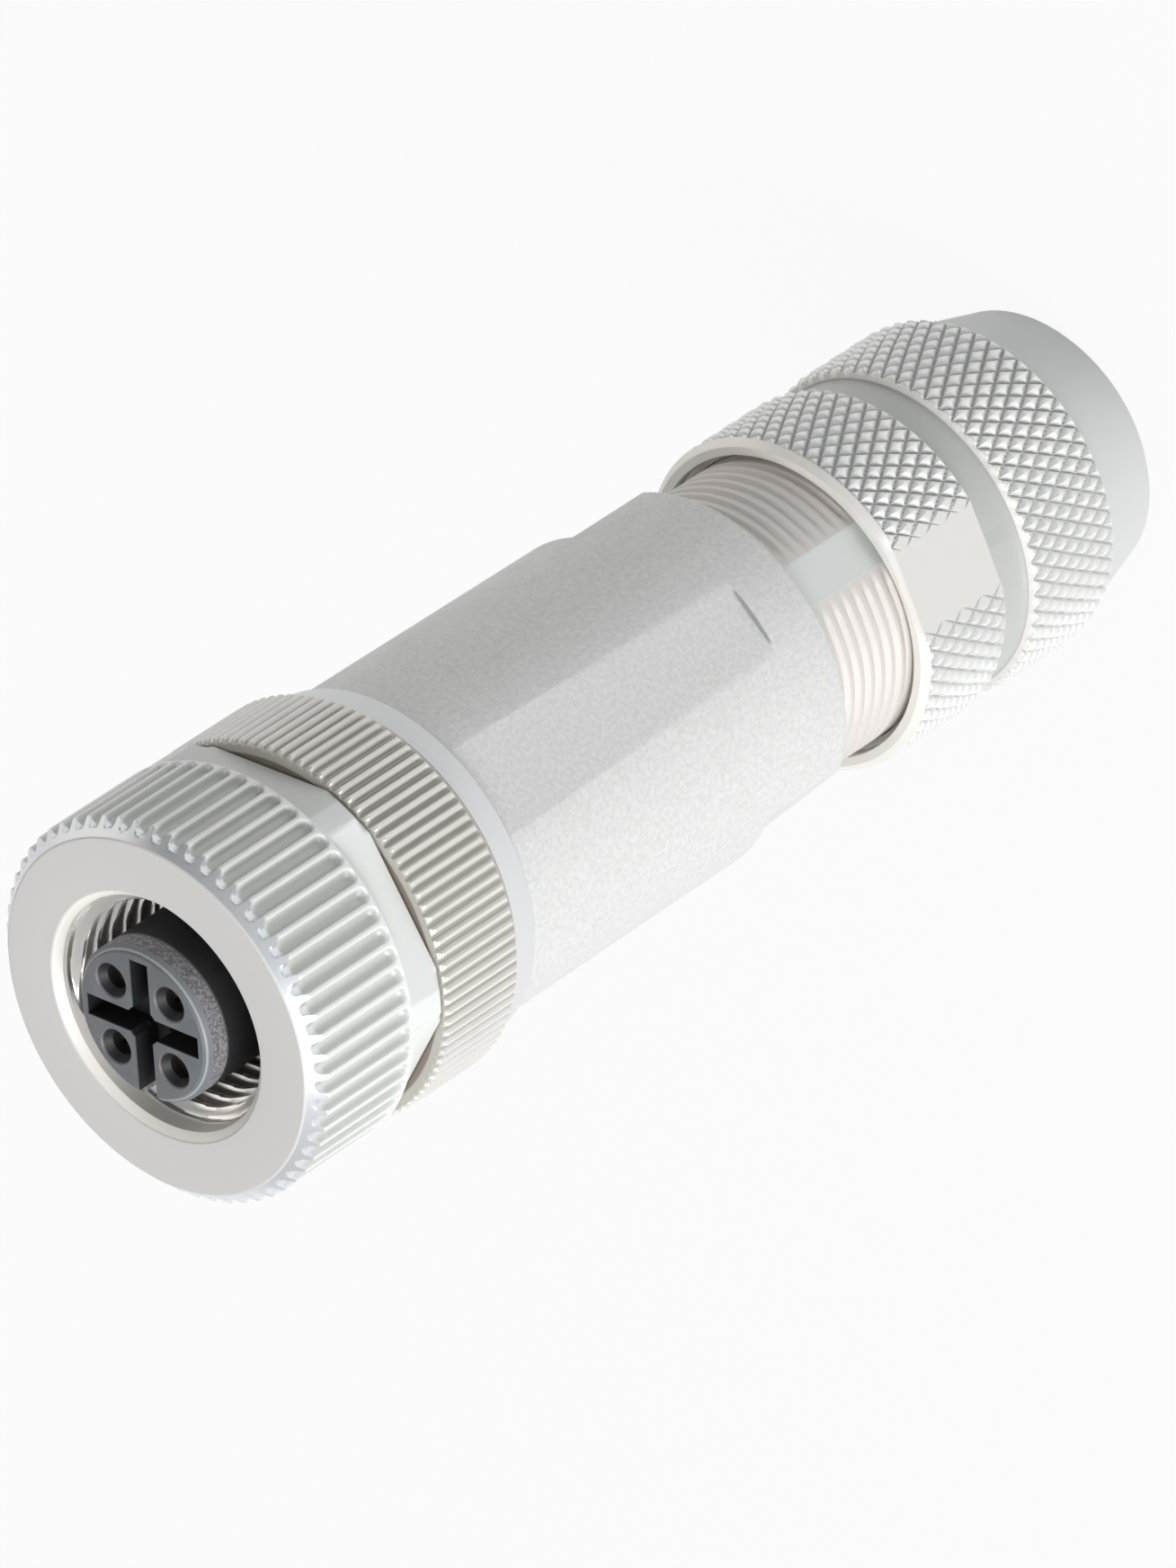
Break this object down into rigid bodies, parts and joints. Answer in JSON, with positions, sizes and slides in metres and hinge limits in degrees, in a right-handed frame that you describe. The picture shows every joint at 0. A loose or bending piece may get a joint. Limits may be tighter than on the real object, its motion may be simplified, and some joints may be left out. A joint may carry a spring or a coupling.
{
  "type": "circular cable connector",
  "caption": "Straight metal M12 cable socket with a fluted coupling ring, knurled carrier ring, round housing and a screwed cable gland nut.",
  "frame": {"origin": "on the connector's axis, at the flat rear end of the pressing nut it stands on", "axes": "+Z along the axis towards the mating face; the housing's shallow flats face +X and -X"},
  "size_m": [0.02, 0.02, 0.0652],
  "materials": {
    "bright_nickel": "bright nickel plate",
    "warm_nickel": "nickel plate",
    "blasted_nickel": "blasted nickel on die-cast metal",
    "black_plastic": "fine matt",
    "grey_plastic": "smooth",
    "gold_contact": "gold plate",
    "spring_steel": "plain",
    "seal_rubber": "smooth",
    "gasket_rubber": "smooth"
  },
  "bodies": {
    "housing": {"housing": "blasted_nickel"},
    "front_seal": {"carrier_seal": "seal_rubber"},
    "carrier": {"carrier_sleeve": "warm_nickel", "coupling_snap_ring": "spring_steel", "mating_seal": "seal_rubber", "contact_insert": "black_plastic", "terminal_block": "black_plastic", "contact_1": "gold_contact", "contact_2": "gold_contact", "contact_3": "gold_contact", "contact_4": "gold_contact", "contact_sleeves": "spring_steel", "terminal_screws": "spring_steel", "insert_retaining_ring": "spring_steel"},
    "ring": {"coupling_ring": "bright_nickel"},
    "gland": {"thrust_washer": "warm_nickel", "clamping_cage": "grey_plastic", "cable_gasket": "gasket_rubber", "shield_ring": "warm_nickel"},
    "nut": {"pressing_nut": "bright_nickel"}
  },
  "joints": [
    {"name": "carrier_advance", "type": "slide", "parent": "housing", "child": "front_seal", "axis": [0, 0, 1], "range_m": [0, 0.00375]},
    {"name": "carrier_turn", "type": "hinge", "parent": "front_seal", "child": "carrier", "pos_m": [0, 0, 0.05], "axis": [0, 0, 1], "range_deg": [-10, 1810]},
    {"name": "coupling_spin", "type": "hinge", "parent": "carrier", "child": "ring", "pos_m": [0, 0, 0.06], "axis": [0, 0, 1], "continuous": true},
    {"name": "nut_advance", "type": "slide", "parent": "housing", "child": "gland", "axis": [0, 0, 1], "range_m": [-0.006, 0.0045]},
    {"name": "nut_turn", "type": "hinge", "parent": "gland", "child": "nut", "pos_m": [0, 0, 0.01], "axis": [0, 0, 1], "range_deg": [-2890, 2170]}
  ],
  "couplings": [
    {"joint": "carrier_turn", "follows": "carrier_advance", "rad_per_m": 8377.6},
    {"joint": "nut_turn", "follows": "nut_advance", "rad_per_m": 8377.6}
  ]
}
